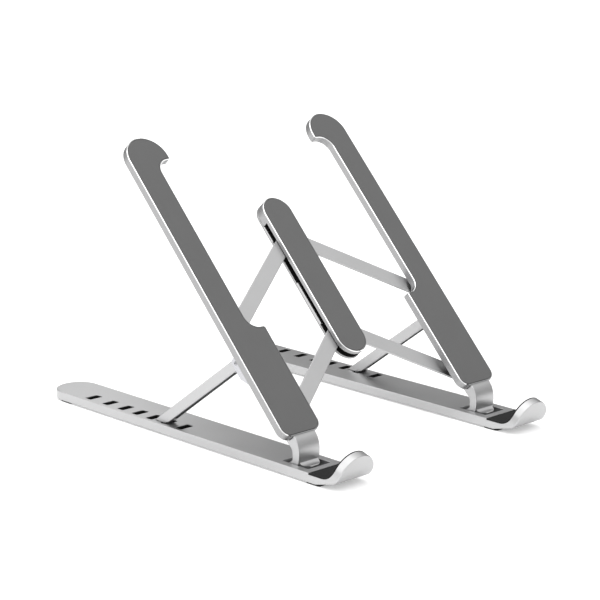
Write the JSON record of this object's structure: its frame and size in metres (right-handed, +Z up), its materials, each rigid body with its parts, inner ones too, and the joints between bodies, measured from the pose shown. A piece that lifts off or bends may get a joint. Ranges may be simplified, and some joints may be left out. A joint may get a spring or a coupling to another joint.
{
  "type": "laptop stand",
  "caption": "Folding aluminium laptop stand: padded arms propped on slotted base rails with lipped ends, joined by cross links to a padded centre bar.",
  "frame": {"origin": "centre of the bounding box, on the floor", "axes": "+Z up, +Y to the rear, away from the lips, +X to the right seen from the lips"},
  "size_m": [0.1722, 0.252, 0.1658],
  "materials": {
    "aluminium": "bead-blasted, silver anodised",
    "steel": "satin",
    "pad_grey": "matt silicone",
    "pad_black": "matt silicone",
    "nylon": "matt"
  },
  "bodies": {
    "bar": {"bar_top_plate": "aluminium", "bar_pad": "pad_grey", "bar_bottom_cover": "aluminium", "bar_pivot_upper_left": "steel", "bar_pivot_upper_right": "steel", "bar_pivot_lower": "steel", "bar_screw_upper": "steel", "bar_screw_lower": "steel"},
    "upper_link_left": {"upper_link_left": "aluminium"},
    "lower_link_left": {"lower_link_left": "aluminium"},
    "arm_left": {"arm_plate_left": "aluminium", "arm_pad_left": "pad_grey", "leg_left": "aluminium", "leg_screw_left_1": "steel", "leg_screw_left_2": "steel", "upper_arm_rivet_left": "steel", "lower_arm_rivet_left": "steel", "upper_arm_washer_left": "nylon", "lower_arm_washer_left": "nylon", "strut_bracket_left": "steel", "bracket_screw_left": "steel", "strut_pin_left": "steel"},
    "strut_left": {"strut_left": "aluminium"},
    "rail_left": {"rail_left": "aluminium", "hook_pad_left": "pad_black", "hinge_pin_left": "steel", "rail_foot_front_left": "pad_black", "rail_foot_rear_left": "pad_black"},
    "upper_link_right": {"upper_link_right": "aluminium"},
    "lower_link_right": {"lower_link_right": "aluminium"},
    "arm_right": {"arm_plate_right": "aluminium", "arm_pad_right": "pad_grey", "leg_right": "aluminium", "leg_screw_right_1": "steel", "leg_screw_right_2": "steel", "upper_arm_rivet_right": "steel", "lower_arm_rivet_right": "steel", "upper_arm_washer_right": "nylon", "lower_arm_washer_right": "nylon", "strut_bracket_right": "steel", "bracket_screw_right": "steel", "strut_pin_right": "steel"},
    "strut_right": {"strut_right": "aluminium"},
    "rail_right": {"rail_right": "aluminium", "hook_pad_right": "pad_black", "hinge_pin_right": "steel", "rail_foot_front_right": "pad_black", "rail_foot_rear_right": "pad_black"}
  },
  "joints": [
    {"name": "stand_fold", "type": "hinge", "parent": "bar", "child": "upper_link_left", "pos_m": [-0.0056, 0.00248, 0.10296], "axis": [0, -0.7269, 0.6867], "range_deg": [0, 49.55]},
    {"name": "upper_link_right_turn", "type": "hinge", "parent": "bar", "child": "upper_link_right", "pos_m": [0.0056, 0.00248, 0.10296], "axis": [0, -0.7269, 0.6867], "range_deg": [-49.55, 0]},
    {"name": "lower_link_left_turn", "type": "hinge", "parent": "bar", "child": "lower_link_left", "pos_m": [0, -0.03763, 0.06051], "axis": [0, -0.7269, 0.6867], "range_deg": [0, 49.55]},
    {"name": "lower_link_right_turn", "type": "hinge", "parent": "bar", "child": "lower_link_right", "pos_m": [0, -0.03646, 0.05941], "axis": [0, -0.7269, 0.6867], "range_deg": [-49.55, 0]},
    {"name": "arm_left_turn", "type": "hinge", "parent": "upper_link_left", "child": "arm_left", "pos_m": [-0.0708, -0.02887, 0.06977], "axis": [0, -0.7269, 0.6867], "range_deg": [-49.55, 0]},
    {"name": "arm_right_turn", "type": "hinge", "parent": "upper_link_right", "child": "arm_right", "pos_m": [0.0708, -0.02887, 0.06977], "axis": [0, -0.7269, 0.6867], "range_deg": [0, 49.55]},
    {"name": "rail_left_fold", "type": "hinge", "parent": "arm_left", "child": "rail_left", "pos_m": [-0.072, -0.08011, 0.0033], "axis": [1, 0, 0], "range_deg": [0, 46.63]},
    {"name": "strut_left_fold", "type": "hinge", "parent": "arm_left", "child": "strut_left", "pos_m": [-0.0789, -0.04109, 0.05415], "axis": [1, 0, 0], "range_deg": [0, 82.81]},
    {"name": "rail_right_fold", "type": "hinge", "parent": "arm_right", "child": "rail_right", "pos_m": [0.072, -0.08011, 0.0033], "axis": [1, 0, 0], "range_deg": [0, 46.63]},
    {"name": "strut_right_fold", "type": "hinge", "parent": "arm_right", "child": "strut_right", "pos_m": [0.0789, -0.04109, 0.05415], "axis": [1, 0, 0], "range_deg": [0, 82.81]}
  ],
  "couplings": [
    {"joint": "upper_link_right_turn", "follows": "stand_fold", "ratio": -1},
    {"joint": "lower_link_left_turn", "follows": "stand_fold", "ratio": 1},
    {"joint": "lower_link_right_turn", "follows": "stand_fold", "ratio": -1},
    {"joint": "arm_left_turn", "follows": "stand_fold", "ratio": -1},
    {"joint": "arm_right_turn", "follows": "stand_fold", "ratio": 1},
    {"joint": "strut_left_fold", "follows": "rail_left_fold", "ratio": 1.7749},
    {"joint": "strut_right_fold", "follows": "rail_right_fold", "ratio": 1.7749}
  ]
}
